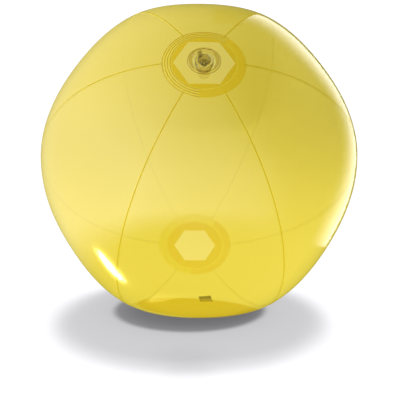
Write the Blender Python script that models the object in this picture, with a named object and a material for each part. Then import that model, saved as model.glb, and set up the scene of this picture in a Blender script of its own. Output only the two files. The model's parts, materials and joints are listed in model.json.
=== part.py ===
"""Inflatable beach ball, 235 mm across, inflated and resting on a floor.

Six gore panels of thin clear film are welded edge to edge, with their hems inside. A round patch
closes each end over the hexagonal window that the gores leave. One patch carries the air valve:
a flange, a thin collar that folds so that the stem can be pushed in, the stem, a check flap on
the stem's inner end, and a tapered plug on a strap.

The origin is on the floor under the ball's centre, +Z is up, and the valve leans towards -Y.
The ball's own axis runs through both patches. Colatitude is measured from the valve's end of
that axis, and longitude round it, from a seam.
"""

import math

import bmesh
import bpy
from mathutils import Matrix, Vector

MM = 0.001

# The ball
BALL_RADIUS = 117.5 * MM  # mean radius of the film's outer face
FILM = 0.3 * MM  # thickness of the film
GAP = 0.3 * MM  # kept between welded layers, which are separate solids here
GORES = 6
GORE_ANGLE = 2 * math.pi / GORES
HEM = 3.0 * MM  # how far the welded hems stand into the ball
POLE_STRETCH = 0.010  # share of the radius by which the ends are drawn out
SHOULDER = 0.0145  # share by which the ends and the equator are flatter than the shoulders
SEAM_RIDGE = 0.0156  # share by which a seam stands out and a gore's middle lies back
RIDGE_POWER = 1.7  # 2 would round the seams off, 1 would make them sharp

# How it rests
VALVE_LEAN = math.radians(42.1)  # of the ball's axis from upright, towards -Y
SEAM_TURN = math.radians(-1.5)  # of the seams about the ball's axis
CENTRE_HEIGHT = 0.976 * BALL_RADIUS  # a little under the radius, because the film lies flat
FLOOR_BLEND = 0.2 * MM  # height over which the film turns from the floor into its curve

# The patches and the windows in the gores under them
PATCH_RADIUS = 29.0 * MM
VALVE_WINDOW = 21.4 * MM  # from the window's centre to its corners
BASE_WINDOW = 16.7 * MM
VALVE_HOLE = 8.0 * MM

# The valve. Heights are measured along its axis, from the gores' outer face at the pole.
FLANGE_RADIUS = 11.5 * MM
FLANGE_BORE = 6.6 * MM
FLANGE_WALL = 0.6 * MM
RIM_WIDTH = 1.1 * MM
RIM_HEIGHT = 0.45 * MM
STEM_RADIUS = 4.5 * MM
BORE_RADIUS = 3.2 * MM
STEM_TOP = 1.0 * MM
STEM_END = -13.5 * MM
COLLAR_WALL = 0.6 * MM
COLLAR_TOP = 1.4 * MM
COLLAR_END = -7.2 * MM
PLUG_RADIUS = 4.4 * MM
PLUG_HEAD = 1.2 * MM
SHANK_RADIUS = 2.9 * MM
SHANK_TIP_RADIUS = 2.2 * MM
SHANK_LENGTH = 4.3 * MM
SHANK_HOLLOW = 1.5 * MM
STRAP_BEARING = math.radians(125)  # longitude of the plug's strap and hinge
PLUG_HINGE_REACH = 6.9 * MM  # from the valve's axis to the strap's bending line
PLUG_HINGE_HEIGHT = 1.15 * MM
STRAP_WIDTH = 2.6 * MM
STRAP_WALL = 0.6 * MM
FLAP_RADIUS = 4.2 * MM
FLAP_WALL = 0.5 * MM
FLAP_BEARING = math.radians(90)
FLAP_HINGE_REACH = 4.7 * MM
LUG_WIDTH = 2.4 * MM
LUG_HEIGHT = 2.0 * MM

# How finely the solids are cut into faces
GORE_ROWS = 36
GORE_COLUMNS = 9
PATCH_SEGMENTS = 48
PATCH_RINGS = 4
TURNED_SEGMENTS = 32
STRAP_STEPS = 4

CENTRE = Vector((0, 0, CENTRE_HEIGHT))
BALL_AXES = Matrix.Rotation(VALVE_LEAN, 4, "X") @ Matrix.Rotation(SEAM_TURN, 4, "Z")


def clear_scene():
    for thing in list(bpy.data.objects):
        bpy.data.objects.remove(thing, do_unlink=True)


def vinyl(name, colour, roughness, alpha):
    material = bpy.data.materials.new(name)
    material.use_nodes = True
    shader = material.node_tree.nodes["Principled BSDF"]
    shader.inputs["Base Color"].default_value = (*colour, 1)
    shader.inputs["Metallic"].default_value = 0
    shader.inputs["Roughness"].default_value = roughness
    shader.inputs["Alpha"].default_value = alpha
    material.diffuse_color = (*colour, alpha)
    return material


def add_mesh(name, points, faces, material, parent=None):
    """A closed mesh object whose faces point outwards."""
    mesh = bpy.data.meshes.new(name)
    mesh.from_pydata(points, [], faces)
    shape = bmesh.new()
    shape.from_mesh(mesh)
    bmesh.ops.recalc_face_normals(shape, faces=shape.faces)
    shape.to_mesh(mesh)
    shape.free()
    mesh.shade_smooth()
    mesh.set_sharp_from_angle(angle=math.radians(40))
    mesh.materials.append(material)
    thing = bpy.data.objects.new(name, mesh)
    bpy.context.scene.collection.objects.link(thing)
    thing.parent = parent
    return thing


def add_empty(name, location, turn=0.0, parent=None):
    """A joint's frame: its origin is on the joint's axis, and it is turned about its parent's Z."""
    empty = bpy.data.objects.new(name, None)
    empty.empty_display_size = 5 * MM
    empty.location = location
    empty.rotation_euler = (0, 0, turn)
    empty.parent = parent
    bpy.context.scene.collection.objects.link(empty)
    return empty


# ---------------------------------------------------------------- the ball's shape


def ball_radius(colatitude, longitude):
    """Distance of the film's outer face from the ball's centre."""
    x = math.cos(colatitude)
    second = (3 * x**2 - 1) / 2
    fourth = (35 * x**4 - 30 * x**2 + 3) / 8
    ridge = 1 - 2 * abs(math.sin(GORES / 2 * longitude)) ** RIDGE_POWER
    ridge *= math.sin(colatitude) ** 2
    return BALL_RADIUS * (1 + POLE_STRETCH * second - SHOULDER * fourth + SEAM_RIDGE * ridge)


def held_up(height, layer):
    """The height of a film point that may not go lower than layer above the floor."""
    above = height - layer
    if above >= FLOOR_BLEND:
        return height
    if above <= -FLOOR_BLEND:
        return layer
    return layer + (above + FLOOR_BLEND) ** 2 / (4 * FLOOR_BLEND)


def ball_point(colatitude, longitude, inset=0.0):
    """A point that lies inset inside the ball's outer face, held up by the floor."""
    out = ball_radius(colatitude, longitude) - inset
    across = out * math.sin(colatitude)
    along = out * math.cos(colatitude)
    place = Vector((across * math.cos(longitude), across * math.sin(longitude), along))
    place = BALL_AXES @ place + CENTRE
    place.z = held_up(place.z, inset)
    return place


def window_colatitude(offset, corner):
    """Angle from the pole to a straight side of the window, offset in longitude from its middle."""
    flat = corner * math.cos(GORE_ANGLE / 2)
    return math.asin(flat / math.cos(offset) / BALL_RADIUS)


# ---------------------------------------------------------------- gores and patches


def gore_chain(row, first_seam, layer):
    """One row of a gore's points from hem tip to hem tip, on its outer or its inner layer.

    row runs from 0 at the valve's window to 1 at the base window. layer is 0 outside and 1
    inside, where the film's thickness sets the points back.
    """
    inset = layer * FILM
    side = GAP / 2 + layer * FILM
    half = GORE_ANGLE / 2

    def point(longitude_offset, depth, edge):
        first = window_colatitude(longitude_offset, VALVE_WINDOW)
        last = math.pi - window_colatitude(longitude_offset, BASE_WINDOW)
        colatitude = first + (last - first) * row
        from_axis = (BALL_RADIUS - depth) * math.sin(colatitude)
        longitude = first_seam + half + longitude_offset - edge * side / from_axis
        return ball_point(colatitude, longitude, depth)

    chain = [point(-half, HEM, -1)]
    for column in range(GORE_COLUMNS + 1):
        edge = (column == GORE_COLUMNS) - (column == 0)
        chain.append(point(half * (2 * column / GORE_COLUMNS - 1), inset, edge))
    chain.append(point(half, HEM, 1))
    return chain


def add_gore(number, material):
    """A gore panel: a curved film with a hem turned in along each of its two seams."""
    seam = (number - 1) * GORE_ANGLE
    points = []
    for i in range(GORE_ROWS + 1):
        row = i / GORE_ROWS
        points += gore_chain(row, seam, 0) + gore_chain(row, seam, 1)
    width = GORE_COLUMNS + 3

    def quad(*corners):
        return tuple((2 * i + layer) * width + k for i, layer, k in corners)

    faces = []
    for i in range(GORE_ROWS):
        for layer in (0, 1):
            for k in range(width - 1):
                faces.append(quad((i, layer, k), (i, layer, k + 1), (i + 1, layer, k + 1), (i + 1, layer, k)))
        for k in (0, width - 1):
            faces.append(quad((i, 0, k), (i + 1, 0, k), (i + 1, 1, k), (i, 1, k)))
    for i in (0, GORE_ROWS):
        for k in range(width - 1):
            faces.append(quad((i, 0, k), (i, 0, k + 1), (i, 1, k + 1), (i, 1, k)))
    return add_mesh(f"gore_{number}", points, faces, material)


def revolve(name, profile, place, segments, material, parent=None):
    """A solid of revolution. profile is a loop of pairs, and place(pair, angle) puts one in space.

    A pair whose first value is 0 is on the axis, so a profile that starts and ends there is
    closed by the axis. Any other profile is closed into a ring.
    """
    points = []
    rings = []
    for pair in profile:
        count = 1 if pair[0] == 0 else segments
        rings.append([len(points) + k for k in range(count)])
        points += [place(pair, 2 * math.pi * k / segments) for k in range(count)]
    on_axis = profile[0][0] == 0
    following = rings[1:] if on_axis else rings[1:] + rings[:1]
    faces = []
    for ring, after in zip(rings, following):
        for k in range(segments):
            start = [ring[k % len(ring)], ring[(k + 1) % len(ring)]]
            end = [after[(k + 1) % len(after)], after[k % len(after)]]
            if len(ring) == 1:
                start = ring
            if len(after) == 1:
                end = after
            faces.append(start + end)
    return add_mesh(name, points, faces, material, parent)


def add_patch(name, hole, at_base, material):
    """A round patch welded outside the gores, with a hole in its middle or none."""
    distances = [hole + (PATCH_RADIUS - hole) * k / PATCH_RINGS for k in range(PATCH_RINGS + 1)]
    outside = [(distance, -(GAP + FILM)) for distance in distances]
    inside = [(distance, -GAP) for distance in reversed(distances)]

    def place(pair, angle):
        colatitude = math.asin(pair[0] / BALL_RADIUS)
        return ball_point(math.pi - colatitude if at_base else colatitude, angle, pair[1])

    return revolve(name, outside + inside, place, PATCH_SEGMENTS, material)


# ---------------------------------------------------------------- the valve


def crown(distance):
    """Height of the gores' outer face at this distance from the valve's axis, from the pole."""
    colatitude = math.asin(distance / BALL_RADIUS)
    return ball_radius(colatitude, 0) * math.cos(colatitude) - ball_radius(0, 0)


def turned(name, profile, material, parent, centre=(0, 0, 0)):
    """A turned valve part. profile holds (radius, height), about an upright axis through centre."""

    def place(pair, angle):
        return Vector(centre) + Vector((pair[0] * math.cos(angle), pair[0] * math.sin(angle), pair[1]))

    return revolve(name, profile, place, TURNED_SEGMENTS, material, parent)


def add_flange(material, axis):
    """The welded flange: a thin ring that follows the patch, with a raised rim and a low lip."""
    under = GAP + FILM + GAP
    top = under + FLANGE_WALL
    rim = FLANGE_RADIUS - RIM_WIDTH
    lip = FLANGE_BORE + 0.6 * MM
    edge_round = 0.2 * MM
    profile = [
        (FLANGE_BORE, under),
        (FLANGE_BORE, top + 0.15 * MM),
        (lip - edge_round, top + 0.2 * MM),
        (lip + edge_round, top),
        (rim - edge_round, top + crown(rim)),
        (rim + edge_round, top + crown(rim) + RIM_HEIGHT),
        (FLANGE_RADIUS - 1.5 * edge_round, top + crown(rim) + RIM_HEIGHT),
        (FLANGE_RADIUS, top + crown(rim)),
        (FLANGE_RADIUS, under + crown(FLANGE_RADIUS)),
        (VALVE_HOLE, under + crown(VALVE_HOLE)),
    ]
    return turned("valve_flange", profile, material, axis)


def add_collar(material, axis):
    """The thin collar between flange and stem, folded inwards while the stem is pushed in."""
    outer = FLANGE_BORE - GAP
    inner = STEM_RADIUS + GAP
    bend = 0.9 * MM
    profile = [
        (outer, COLLAR_TOP),
        (outer, -2.0 * MM),
        (inner + COLLAR_WALL + 0.2 * MM, COLLAR_END + bend),
        (inner + COLLAR_WALL / 2, COLLAR_END),
        (inner, COLLAR_END),
        (inner, COLLAR_END + COLLAR_WALL),
        (outer - COLLAR_WALL, -1.8 * MM),
        (outer - COLLAR_WALL, COLLAR_TOP),
    ]
    return turned("valve_collar", profile, material, axis)


def add_stem(material, axis):
    """The stem: a tube with a chamfered mouth, and a lug beside its inner end for the flap."""
    chamfer = 0.4 * MM
    profile = [
        (BORE_RADIUS, STEM_END),
        (BORE_RADIUS, STEM_TOP - chamfer),
        (BORE_RADIUS + 0.3 * MM, STEM_TOP),
        (STEM_RADIUS - chamfer / 2, STEM_TOP),
        (STEM_RADIUS, STEM_TOP - chamfer / 2),
        (STEM_RADIUS, STEM_END),
    ]
    stem = turned("valve_stem", profile, material, axis)
    lug_frame = add_empty("lug_frame", (0, 0, STEM_END), FLAP_BEARING, axis)
    inner_face = STEM_RADIUS - 0.5 * MM
    outer_face = FLAP_HINGE_REACH + 0.3 * MM
    outline = [(inner_face, 0), (outer_face, 0), (outer_face, LUG_HEIGHT / 2), (inner_face, LUG_HEIGHT)]
    points = [(x, side * LUG_WIDTH / 2, z) for side in (-1, 1) for x, z in outline]
    faces = [(0, 1, 2, 3), (7, 6, 5, 4), (0, 4, 5, 1), (1, 5, 6, 2), (2, 6, 7, 3), (3, 7, 4, 0)]
    lug = add_mesh("lug_tool", points, faces, material, lug_frame)
    lug.hide_render = True
    lug.display_type = "WIRE"
    union = stem.modifiers.new("lug", "BOOLEAN")
    union.operation = "UNION"
    union.solver = "EXACT"
    union.object = lug
    return stem


def add_flap(material, axis):
    """The check flap: a disc just below the stem's inner end, with a tab at its hinge line."""
    middle = STEM_END - GAP - FLAP_WALL / 2
    hinge = add_empty("flap_hinge", (0, FLAP_HINGE_REACH, middle), FLAP_BEARING, axis)
    tab_end = 0.3 * MM
    half_tab = LUG_WIDTH / 2
    start = math.asin(half_tab / FLAP_RADIUS)
    steps = TURNED_SEGMENTS - 2
    outline = [(tab_end, -half_tab), (tab_end, half_tab)]
    for k in range(steps + 1):
        angle = start + (2 * math.pi - 2 * start) * k / steps
        outline.append((FLAP_RADIUS * math.cos(angle) - FLAP_HINGE_REACH, FLAP_RADIUS * math.sin(angle)))
    count = len(outline)
    points = [(x, y, side * FLAP_WALL / 2) for side in (-1, 1) for x, y in outline]
    faces = [tuple(range(count)), tuple(range(count, 2 * count))]
    faces += [(k, (k + 1) % count, count + (k + 1) % count, count + k) for k in range(count)]
    return add_mesh("check_flap", points, faces, material, hinge)


def add_plug(material, hinge):
    """The plug: a flat head with a gate dimple, and a tapered hollow shank that swings clear."""
    under = STEM_TOP + GAP
    top = under + PLUG_HEAD
    tip = under - SHANK_LENGTH
    dimple = 0.6 * MM
    edge_round = 0.3 * MM
    profile = [
        (0, top - 0.4 * MM),
        (dimple * 0.7, top - 0.4 * MM),
        (dimple, top),
        (PLUG_RADIUS - edge_round, top),
        (PLUG_RADIUS, top - edge_round),
        (PLUG_RADIUS, under + edge_round / 2),
        (PLUG_RADIUS - edge_round / 2, under),
        (SHANK_RADIUS, under),
        (SHANK_RADIUS, under - 0.35 * SHANK_LENGTH),
        ((SHANK_RADIUS + SHANK_TIP_RADIUS) / 2 + 0.1 * MM, under - 0.7 * SHANK_LENGTH),
        (SHANK_TIP_RADIUS, tip),
        (SHANK_HOLLOW, tip),
        (SHANK_HOLLOW, under),
        (0, under),
    ]
    return turned("stopper_plug", profile, material, hinge, (-PLUG_HINGE_REACH, 0, -PLUG_HINGE_HEIGHT))


def smooth_path(points, steps):
    """Points along a smooth curve through the given ones, which keeps its end directions."""
    ends = [2 * points[0] - points[1], *points, 2 * points[-1] - points[-2]]
    path = []
    for before, start, end, after in zip(ends, ends[1:], ends[2:], ends[3:]):
        for k in range(steps):
            t = k / steps
            path.append(
                start
                + (end - before) * (t / 2)
                + (before - 2.5 * start + 2 * end - after / 2) * t**2
                + (1.5 * start - before / 2 - 1.5 * end + after / 2) * t**3
            )
    return [*path, points[-1]]


def add_strap(material, axis):
    """The plug's strap: a flat ribbon that rises beside the stem and loops over onto the head."""
    frame = add_empty("strap_frame", (0, 0, 0), STRAP_BEARING, axis)
    beside = STEM_RADIUS + GAP + STRAP_WALL / 2
    on_head = STEM_TOP + GAP + PLUG_HEAD + GAP + STRAP_WALL / 2
    route = [
        (beside, -1.0),
        (beside, 0.8),
        (5.35 * MM, 1.9),
        (6.1 * MM, 3.0),
        (6.3 * MM, 4.1),
        (5.7 * MM, 4.9),
        (4.8 * MM, 4.8),
        (4.2 * MM, 4.0),
        (3.7 * MM, 3.35),
    ]
    points = [Vector((out, 0, up * MM)) for out, up in route] + [Vector((2.6 * MM, 0, on_head))]
    path = smooth_path(points, STRAP_STEPS)
    corners = []
    for k, point in enumerate(path):
        along = (path[min(k + 1, len(path) - 1)] - path[max(k - 1, 0)]).normalized()
        face = along.cross(Vector((0, 1, 0))) * (STRAP_WALL / 2)
        side = Vector((0, STRAP_WIDTH / 2, 0))
        corners += [point - side - face, point + side - face, point + side + face, point - side + face]
    last = len(corners) - 4
    faces = [(0, 1, 2, 3), (last, last + 1, last + 2, last + 3)]
    for base in range(0, last, 4):
        faces += [(base + k, base + (k + 1) % 4, base + 4 + (k + 1) % 4, base + 4 + k) for k in range(4)]
    return add_mesh("plug_strap", corners, faces, material, frame)


def add_valve(material):
    axis = add_empty("valve_axis", CENTRE + BALL_AXES @ Vector((0, 0, ball_radius(0, 0))))
    axis.rotation_euler = BALL_AXES.to_euler()
    add_flange(material, axis)
    add_collar(material, axis)
    add_stem(material, axis)
    add_flap(material, axis)
    bearing = Vector((math.cos(STRAP_BEARING), math.sin(STRAP_BEARING), 0))
    place = bearing * PLUG_HINGE_REACH + Vector((0, 0, PLUG_HINGE_HEIGHT))
    add_plug(material, add_empty("plug_hinge", place, STRAP_BEARING, axis))
    add_strap(material, axis)


def main():
    clear_scene()
    yellow_film = vinyl("yellow_film", (0.90, 0.76, 0.10), 0.2, 0.55)
    clear_vinyl = vinyl("clear_vinyl", (0.88, 0.86, 0.68), 0.25, 0.5)
    for number in range(1, GORES + 1):
        add_gore(number, yellow_film)
    add_patch("valve_patch", VALVE_HOLE, False, yellow_film)
    add_patch("base_patch", 0.0, True, yellow_film)
    add_valve(clear_vinyl)


main()
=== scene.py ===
"""Looks of the inflatable beach ball: clear yellow film, welded seams and a clear valve.

The CAD solids are coarse, so every one of them is replaced here by a finer piece of the same
shape. The film is drawn as single open sheets, because it is 0.2 mm thick and seen through, and
so are the welds in it. The hems, the ribs and the valve's parts are closed bodies.
"""

import json
import math

import bmesh
import bpy
from mathutils import Matrix, Vector, noise


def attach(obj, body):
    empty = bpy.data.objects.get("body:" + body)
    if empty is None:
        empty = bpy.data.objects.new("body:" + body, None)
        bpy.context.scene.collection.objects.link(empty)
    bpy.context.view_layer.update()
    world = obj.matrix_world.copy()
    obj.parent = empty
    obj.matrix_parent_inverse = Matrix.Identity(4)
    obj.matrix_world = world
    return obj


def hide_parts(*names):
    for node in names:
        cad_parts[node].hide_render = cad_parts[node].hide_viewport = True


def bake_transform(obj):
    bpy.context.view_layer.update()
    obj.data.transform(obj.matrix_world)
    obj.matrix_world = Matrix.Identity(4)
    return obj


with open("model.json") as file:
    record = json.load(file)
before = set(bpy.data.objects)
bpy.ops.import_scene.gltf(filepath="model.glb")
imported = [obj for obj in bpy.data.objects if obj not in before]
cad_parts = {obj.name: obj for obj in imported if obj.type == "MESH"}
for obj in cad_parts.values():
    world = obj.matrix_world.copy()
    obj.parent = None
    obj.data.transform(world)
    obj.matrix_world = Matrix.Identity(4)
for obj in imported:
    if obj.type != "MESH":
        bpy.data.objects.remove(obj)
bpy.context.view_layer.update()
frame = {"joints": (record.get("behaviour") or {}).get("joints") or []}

MM = 0.001
DEGREE = math.pi / 180

# The ball, as the CAD has it
BALL_RADIUS = 117.5 * MM
GORES = 6
GORE_ANGLE = 2 * math.pi / GORES
POLE_STRETCH = 0.010
SHOULDER = 0.0145
SEAM_RIDGE = 0.0156
RIDGE_POWER = 1.7
SEAM_TURN = -1.5 * DEGREE
CENTRE_HEIGHT = 0.976 * BALL_RADIUS
FLOOR_BLEND = 0.6 * MM
PATCH_RADIUS = 29.0 * MM
VALVE_WINDOW = 21.4 * MM
BASE_WINDOW = 16.7 * MM
VALVE_HOLE = 8.0 * MM

# The fine surface of the film
FILM_ROWS = 150
FILM_COLUMNS = 44
EDGE_CROWDING = 2.2  # how strongly the columns crowd towards the seams
CREASE_DEPTH = 0.04 * MM  # of the groove along a seam
CREASE_WIDTH = 1.1 * MM
PUCKER_HEIGHT = 0.16 * MM  # small folds that a tight seam throws across itself
PUCKER_REACH = 9.0 * MM
PUCKER_PITCH = 11.0 * MM
WAVE_HEIGHT = 0.22 * MM  # slow unevenness of the whole film
WAVE_LENGTH = 46.0 * MM

# The welds
HEM_DEPTH = 1.6 * MM
HEM_THICKNESS = 0.9 * MM
HEM_TOP = 0.1 * MM  # below the film's face
HEM_ON_FLOOR = 0.5 * MM  # its depth where the ball is flat
HEM_RIPPLE = 0.12 * MM  # how much the hems' depth wanders
WELD_WIDTH = 0.75 * MM  # of the melted line in a seam's crease
WELD_LIFT = 0.04 * MM
SEAM_OVERLAP = 0.8 * MM  # how far a seam's weld and hems run in under a patch
BAND_WIDTH = 5.8 * MM  # of the ribbed weld round each patch
THIN_WIDTH = 0.6 * MM  # of the paler line inside it, which passes more light than the band
RIB_RADII = [23.3 * MM, 25.1 * MM, 26.9 * MM, 28.7 * MM]
RIB_WIDTH = 0.55 * MM
RIB_HEIGHT = 0.3 * MM
PLAIN_ARC = (-97 * DEGREE, 52 * DEGREE)  # the part of a band that has no ribs
PATCH_LIFT = 0.35 * MM
EDGE_TAPER = 0.6 * MM  # width over which a patch's edge comes down to the gores
MIDDLE = 0.05 * MM  # a patch with no hole is closed with one face inside this radius

# The painted shadow of the valve's stem, a dark patch on the film: its size, and where on the ball its
# middle is
MARK_WIDTH = 9.6 * MM
MARK_LENGTH = 12.5 * MM
MARK_COLATITUDE = 148.6 * DEGREE
MARK_LONGITUDE = -82.7 * DEGREE
MARK_LIFT = -0.15 * MM

# The valve, in its own frame: +Z out of the ball, heights from the film's face at the pole
FLANGE_RADIUS = 11.5 * MM
FLANGE_BORE = 6.6 * MM
FLANGE_UNDER = 0.5 * MM
FLANGE_TOP = 1.5 * MM
RIM_WIDTH = 1.1 * MM
STEM_RADIUS = 4.5 * MM
BORE_RADIUS = 3.2 * MM
STEM_TOP = 1.0 * MM
STEM_END = -13.5 * MM
COLLAR_TOP = 1.4 * MM
COLLAR_END = -7.2 * MM
PLUG_RADIUS = 4.4 * MM
STRAP_BEARING = 125 * DEGREE
STRAP_HALF_WIDTH = 1.25 * MM
STRAP_HALF_THICKNESS = 0.32 * MM
TURNED_SEGMENTS = 96
FILLET_STEPS = 5

# The vinyl's unevenness: a fine grain, and slow blotches that also tilt its gloss
BLOTCH_SCALE = 22.0
BLOTCH_TILT = 4.0  # against the grain's
BUMP_STRENGTH = 0.05
BUMP_DISTANCE = 0.3 * MM

# How lamps find the vinyl: the share of light that a layer passes, from (facing, share) to (facing,
# share), where 0 faces the lamp and 1 is edge on, and the underside of the ball, which passes little
LAMP_LAYER = ((0.40, 0.70), (0.58, 1.0))
UNDERSIDE_SHARE = 0.26
UNDERSIDE_CENTRE = (-7 * MM, 0, 0)
UNDERSIDE_HALF = (58 * MM, 54 * MM, 75 * MM)
SOFT_EDGE = (0.93, 1.07)  # where an ellipsoid's soft edge starts and ends, in its own radii

JOINTS = {joint["name"]: joint for joint in frame["joints"]}
VALVE_AXIS = Vector(JOINTS["stem_slide"]["axis"])
VALVE_LEAN = math.atan2(-VALVE_AXIS.y, VALVE_AXIS.z)
CENTRE = Vector((0, 0, CENTRE_HEIGHT))
BALL_AXES = Matrix.Rotation(VALVE_LEAN, 4, "X") @ Matrix.Rotation(SEAM_TURN, 4, "Z")

# The camera's view: the direction back to it from the ball, and its right and up
CAMERA_AZIMUTH = -2.6 * DEGREE
CAMERA_ELEVATION = 12.0 * DEGREE
BACK = Vector((math.sin(CAMERA_AZIMUTH), -math.cos(CAMERA_AZIMUTH), math.tan(CAMERA_ELEVATION)))
BACK.normalize()
RIGHT = Vector((0, 0, 1)).cross(BACK).normalized()
UP = BACK.cross(RIGHT)
CAMERA_LENS = 128.9
CAMERA_DISTANCE = 9.14 * BALL_RADIUS
CAMERA_PIVOT = 0.98 * BALL_RADIUS  # height of the point that it is placed from
AIM_BELOW = 0.247  # where it aims, below that point and to the right of it, in ball radii
AIM_RIGHT = 0.0064

# The glow card: how far its edges lie from the direction to the lens, and its ends round that
# direction, clockwise from straight up
GLOW_TURNS = (113 * DEGREE, 154 * DEGREE)
GLOW_CLOCKS = (4 * DEGREE, 122 * DEGREE)
GLOW_SHORTER = 15 * DEGREE  # how much less far it reaches at its upper end
GLOW_DISTANCE = 1.6
GLOW_RADIANCE = 8.5
GLOW_FADE = 1.6  # power of its rise from the inner edge to the outer
GLOW_COLOUR = (1, 1, 0.98, 1)

# The window: its middle, the point of the film that mirrors it, the direction of its width
WINDOW_PLACE = Vector((0.697, 1.024, 0.658))
WINDOW_TARGET = Vector((-0.068, 0.033, 0.025))
WINDOW_SIDE = Vector((-0.126, 0.033, 0.103))
WINDOW_WIDTH = 0.18
WINDOW_HEIGHT = 0.19
WINDOW_RADIANCE = 170.0

# The distant lamps: name, strength and the direction that the light comes from
SUN_SPREAD = 9 * DEGREE
SUNS = (
    ("overhead_back", 2.0, Vector((0.07, 0.31, 1.0))),
    ("overhead", 0.95, Vector((0.07, 0.16, 1.0))),
)

# The studio round the ball: as the camera sees it and as a light
STUDIO_WHITE = 1.05
STUDIO_LIGHT = 0.33
STUDIO_LIGHT_COLOUR = (0.97, 0.96, 1.03, 1)

# What the film mirrors of the studio: its level, how that changes to the right and overhead, its
# most, and how it dims away from a direction: at these cosines from it, (cosine, share)
STUDIO_LEVEL = 2.2
STUDIO_SIDE = -1.9
STUDIO_TOP = -1.5
STUDIO_MOST = 3.6
STUDIO_FRONT = (BACK - RIGHT * 1.1).normalized()
STUDIO_DIMMING = ((-0.85, 0.1), (0.0, 1.0))

# The floor
FLOOR_HALF = 8.0
FLOOR_DROP = 0.2 * MM
FLOOR_COLOUR = (0.90, 0.90, 0.905, 1)

# Painted light on the floor as seen through the film, from (distance back, level) to (distance
# back, level), the same for its fall to the right, and how far to each side that fall goes on
BEHIND_LEVEL = ((0.05, 1.08), (0.75, 0.86))
BEHIND_SLANT = ((0.1, -0.3), (1.0, -1.0))
BEHIND_SIDES = (-0.12, 0.4)

# The part of the floor that the ball stands on, and the painted yellow light on it seen through the
# film
CONTACT_HALF = (50 * MM, 23 * MM, 1)
CONTACT_TURN = -20 * DEGREE
CONTACT_PAINTED_LIGHT = (0.86, 0.76, 0.005, 1)

# What the film mirrors of the floor: dark round a point in front of the ball, then nothing
DARK_MIDDLE = (0, -0.08, 0)
DARK_FADE = ((0.11, 0.0), (0.27, 1.0))
DARK_LEVEL = 0.1


# ------------------------ the ball's shape


def ball_radius(colatitude, longitude):
    """Distance of the film's face from the ball's centre, as in the CAD."""
    x = math.cos(colatitude)
    second = (3 * x**2 - 1) / 2
    fourth = (35 * x**4 - 30 * x**2 + 3) / 8
    ridge = 1 - 2 * abs(math.sin(GORES / 2 * longitude)) ** RIDGE_POWER
    ridge *= math.sin(colatitude) ** 2
    return BALL_RADIUS * (1 + POLE_STRETCH * second - SHOULDER * fourth + SEAM_RIDGE * ridge)


def direction(colatitude, longitude):
    """The direction from the ball's centre, in the row's frame."""
    across = math.sin(colatitude)
    here = Vector((across * math.cos(longitude), across * math.sin(longitude), math.cos(colatitude)))
    return BALL_AXES @ here


def held_up(height):
    """The height of a film point that the floor holds up."""
    if height >= FLOOR_BLEND:
        return height
    if height <= -FLOOR_BLEND:
        return 0.0
    return (height + FLOOR_BLEND) ** 2 / (4 * FLOOR_BLEND)


def seam_distance(colatitude, longitude):
    """Distance along the film to the nearest seam."""
    turns = longitude / GORE_ANGLE
    off = abs(turns - round(turns)) * GORE_ANGLE
    return off * BALL_RADIUS * math.sin(colatitude)


def film_relief(colatitude, longitude):
    """The film's fine relief: the crease along a seam, the puckers across it and slow waves."""
    far = seam_distance(colatitude, longitude)
    seam = round(longitude / GORE_ANGLE)
    crease = CREASE_DEPTH * math.exp(-((far / CREASE_WIDTH) ** 2))
    along = colatitude * BALL_RADIUS
    fold = noise.noise(Vector((along / PUCKER_PITCH, 7.3 * (seam % GORES), 0.0)))
    side = 1 if longitude > seam * GORE_ANGLE else -1
    fold += 0.5 * noise.noise(Vector((along / PUCKER_PITCH * 1.9, 7.3 * (seam % GORES), 4.0 * side)))
    pucker = PUCKER_HEIGHT * fold * math.exp(-far / PUCKER_REACH) * math.sin(colatitude)
    wave = WAVE_HEIGHT * noise.noise(direction(colatitude, longitude) * (BALL_RADIUS / WAVE_LENGTH))
    return wave + pucker - crease


def film_point(colatitude, longitude, lift=0.0):
    """A point of the film's fine surface, or lift outside it."""
    out = ball_radius(colatitude, longitude) + film_relief(colatitude, longitude) + lift
    place = direction(colatitude, longitude) * out + CENTRE
    place.z = held_up(place.z)
    return place


def window_colatitude(offset, corner):
    """Colatitude of a hexagonal window's edge, this far round from the middle of that edge."""
    flat = corner * math.cos(GORE_ANGLE / 2)
    return math.asin(flat / math.cos(offset) / BALL_RADIUS)


VALVE_FRAME = Matrix.Translation(CENTRE + VALVE_AXIS * ball_radius(0, 0)) @ BALL_AXES


# ------------------------ materials


def node(tree, kind, **inputs):
    """A shader node with its plain inputs set. A name's underscores stand for spaces."""
    made = tree.nodes.new(kind)
    for name, value in inputs.items():
        made.inputs[name.replace("_", " ")].default_value = value
    return made


def feed(tree, value, socket):
    """Gives a socket a plain number or another node's output."""
    if isinstance(value, (int, float)):
        socket.default_value = value
    else:
        tree.links.new(value, socket)


def maths(tree, operation, *values):
    """A Math node's output, from sockets or plain numbers."""
    made = tree.nodes.new("ShaderNodeMath")
    made.operation = operation
    for socket, value in zip(made.inputs, values):
        feed(tree, value, socket)
    return made.outputs[0]


def vector_maths(tree, operation, value, fixed=(0, 0, 0)):
    """A Vector Math node's number, from a socket and a fixed vector."""
    made = tree.nodes.new("ShaderNodeVectorMath")
    made.operation = operation
    made.inputs[1].default_value = fixed
    tree.links.new(value, made.inputs[0])
    return made.outputs["Value"]


def mixed(tree, share, first, second):
    """A Mix Shader node's output."""
    made = tree.nodes.new("ShaderNodeMixShader")
    feed(tree, share, made.inputs[0])
    tree.links.new(first, made.inputs[1])
    tree.links.new(second, made.inputs[2])
    return made.outputs[0]


def blank_tree(owner):
    """The emptied node tree of a material or a world."""
    owner.use_nodes = True
    owner.node_tree.nodes.clear()
    return owner.node_tree


def put_out(tree, kind, shader):
    """Ends a tree in its output node."""
    tree.links.new(shader, tree.nodes.new(kind).inputs["Surface"])


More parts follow.
